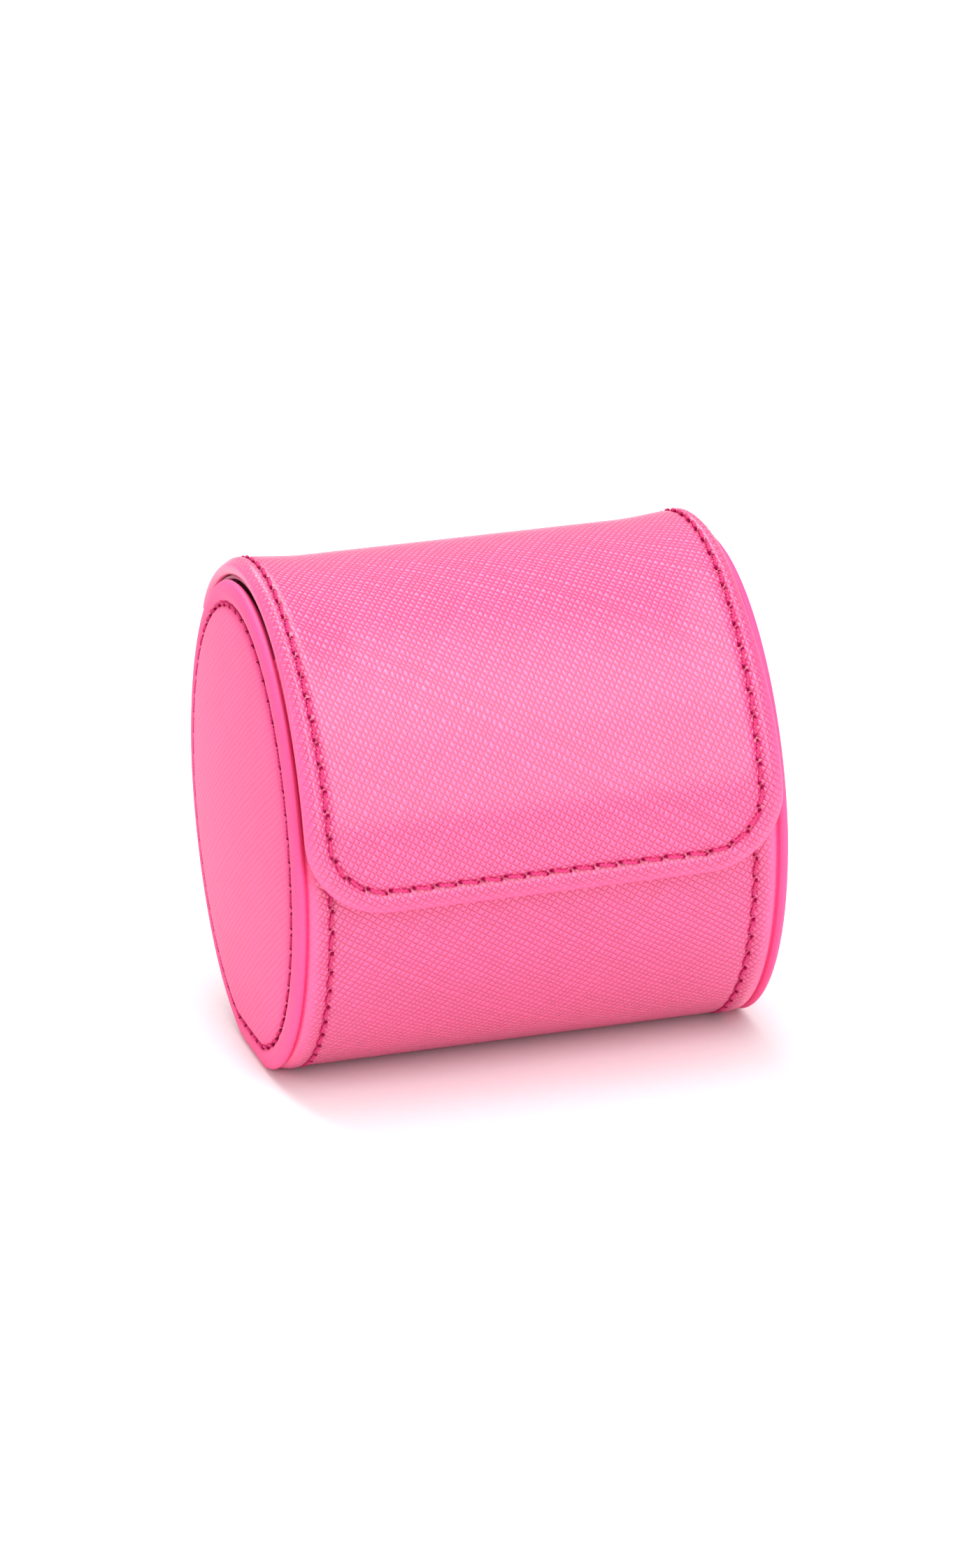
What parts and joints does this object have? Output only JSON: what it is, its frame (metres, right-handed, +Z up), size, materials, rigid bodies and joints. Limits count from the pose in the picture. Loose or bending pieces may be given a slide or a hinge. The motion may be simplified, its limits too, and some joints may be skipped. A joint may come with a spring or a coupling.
{
  "type": "travel jewelry case",
  "caption": "Barrel-shaped leather travel case for jewelry, with domed padded ends, a wrap-over flap held shut by hidden magnets, and a pillow that lifts out.",
  "frame": {"origin": "middle of the flat base that the case rests on", "axes": "+X along the case's long axis, from the left end panel to the right one; -Y out of the front, where the flap's edge is; +Z up"},
  "size_m": [0.084, 0.0712, 0.0807],
  "materials": {
    "saffiano_leather": "satin",
    "end_leather": "satin",
    "lining_fabric": "matte",
    "stiffener_board": "matte",
    "padding_foam": "matte",
    "magnet_steel": "satin",
    "stitching_thread": "satin",
    "pillow_fabric": "matte"
  },
  "bodies": {
    "case": {"tub_cover": "saffiano_leather", "hinge_cover": "saffiano_leather", "end_cover_left": "end_leather", "end_cover_right": "end_leather", "tub_lining": "lining_fabric", "hinge_lining": "lining_fabric", "end_lining_left": "lining_fabric", "end_lining_right": "lining_fabric", "tub_board": "stiffener_board", "end_board_left": "stiffener_board", "end_board_right": "stiffener_board", "end_padding_left": "padding_foam", "end_padding_right": "padding_foam", "tub_magnet_left": "magnet_steel", "tub_magnet_right": "magnet_steel", "tub_thread_left": "stitching_thread", "tub_thread_right": "stitching_thread", "end_thread_left": "stitching_thread", "end_thread_right": "stitching_thread"},
    "flap": {"flap_cover": "saffiano_leather", "flap_board": "stiffener_board", "flap_lining": "lining_fabric", "flap_magnet_left": "magnet_steel", "flap_magnet_right": "magnet_steel", "flap_thread": "stitching_thread"},
    "pillow": {"pillow_foam": "padding_foam", "pillow_cover": "pillow_fabric", "pillow_end_left": "pillow_fabric", "pillow_end_right": "pillow_fabric"}
  },
  "joints": [
    {"name": "flap_hinge", "type": "hinge", "parent": "case", "child": "flap", "pos_m": [0, 0.02886, 0.06066], "axis": [-1, 0, 0], "range_deg": [0, 126], "deforming": ["hinge_cover", "hinge_lining"]},
    {"name": "pillow_lift", "type": "slide", "parent": "case", "child": "pillow", "axis": [0, 0.289, 0.9573], "range_m": [0, 0.076]}
  ],
  "couplings": [
    {"joint": "pillow_lift", "follows": "flap_hinge", "m_per_rad": 0.0341}
  ]
}
